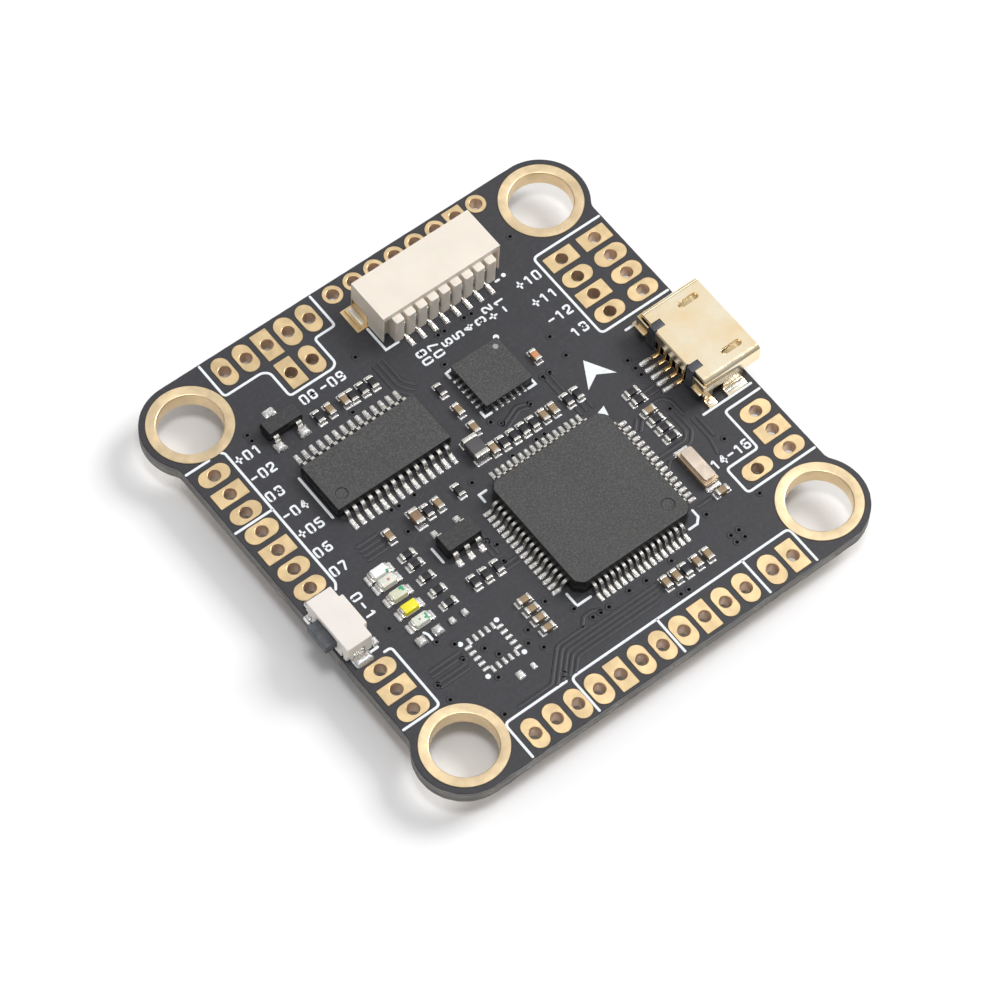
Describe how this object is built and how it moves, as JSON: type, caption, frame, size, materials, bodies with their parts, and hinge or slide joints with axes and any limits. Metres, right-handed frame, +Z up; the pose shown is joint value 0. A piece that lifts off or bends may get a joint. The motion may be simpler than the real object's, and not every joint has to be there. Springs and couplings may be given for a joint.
{
  "type": "flight controller board",
  "caption": "Square circuit board with lobed corners round plated mounting holes, a processor, edge wire pads, a motor-controller socket, a USB socket and a sprung boot button.",
  "frame": {"origin": "centre of the four mounting holes in plan, level with the lowest face of the parts under the board", "axes": "+Z up out of the component side, +Y forward towards the motor-controller socket's edge, +X towards the USB socket's edge"},
  "size_m": [0.0376, 0.0376, 0.0061],
  "materials": {
    "solder_mask": "charcoal-black solder mask with a faint blue tint, semi-matte, over glass-fibre laminate",
    "gold_plating": "pale immersion gold on copper, satin",
    "socket_nylon": "ivory moulded nylon, fine matte texture",
    "tinned_contact": "tin-plated phosphor bronze, bright satin",
    "usb_shell_gold": "polished gold-flashed stainless sheet",
    "usb_contact_gold": "gold-flashed contact spring",
    "dark_plastic": "slate-black glass-filled moulding",
    "chip_epoxy": "grey-black moulding compound, finely speckled, matte",
    "tinned_lead": "matte tin-plated copper leads",
    "crystal_ceramic": "brown alumina ceramic",
    "crystal_lid": "pinkish-silver plated kovar lid",
    "button_steel": "stainless spring plate",
    "led_body": "clear epoxy lens on a white base",
    "chip_resistor": "black glass over alumina with tinned ends",
    "ferrite": "dark grey sintered ferrite with tinned ends",
    "inductor_body": "grey pressed iron-powder composite",
    "ceramic_capacitor": "tan barium-titanate ceramic with tinned ends"
  },
  "bodies": {
    "board": {"pcb": "solder_mask", "mount_plating_front_left": "gold_plating", "mount_plating_front_right": "gold_plating", "mount_plating_rear_left": "gold_plating", "mount_plating_rear_right": "gold_plating", "esc_socket_housing": "socket_nylon", "boot_button_housing": "socket_nylon", "esc_socket_contact_1": "tinned_contact", "esc_socket_contact_2": "tinned_contact", "esc_socket_contact_3": "tinned_contact", "esc_socket_contact_4": "tinned_contact", "esc_socket_contact_5": "tinned_contact", "esc_socket_contact_6": "tinned_contact", "esc_socket_contact_7": "tinned_contact", "esc_socket_contact_8": "tinned_contact", "esc_socket_tab_left": "tinned_contact", "esc_socket_tab_right": "tinned_contact", "boot_button_terminal_front": "tinned_contact", "boot_button_terminal_rear": "tinned_contact", "usb_shell": "usb_shell_gold", "usb_contact_1": "usb_contact_gold", "usb_contact_2": "usb_contact_gold", "usb_contact_3": "usb_contact_gold", "usb_contact_4": "usb_contact_gold", "usb_contact_5": "usb_contact_gold", "usb_insulator": "dark_plastic", "mcu_package": "chip_epoxy", "osd_package": "chip_epoxy", "transistor_package": "chip_epoxy", "regulator_package": "chip_epoxy", "buck_regulator_5v_package": "chip_epoxy", "buck_regulator_9v_package": "chip_epoxy", "flash_memory_package": "chip_epoxy", "gyro_package": "chip_epoxy", "mcu_leadframe": "tinned_lead", "osd_leadframe": "tinned_lead", "transistor_leadframe": "tinned_lead", "regulator_leadframe": "tinned_lead", "buck_regulator_5v_leadframe": "tinned_lead", "buck_regulator_9v_leadframe": "tinned_lead", "flash_memory_leadframe": "tinned_lead", "crystal_base": "crystal_ceramic", "crystal_lid": "crystal_lid", "boot_button_dome": "button_steel", "led_1": "led_body", "led_2": "led_body", "led_3": "led_body", "led_4": "led_body", "led_5": "led_body", "led_resistor_1": "chip_resistor", "led_resistor_2": "chip_resistor", "led_resistor_3": "chip_resistor", "led_resistor_4": "chip_resistor", "led_resistor_5": "chip_resistor", "ferrite_bead": "ferrite", "inductor_5v": "inductor_body", "inductor_9v": "inductor_body", "input_capacitor": "ceramic_capacitor"},
    "boot_button": {"boot_button_plunger": "dark_plastic"}
  },
  "joints": [
    {"name": "boot_button_press", "type": "slide", "parent": "board", "child": "boot_button", "axis": [1, 0, 0], "range_m": [0, 0.00025], "stiffness_N_per_m": 6400}
  ]
}
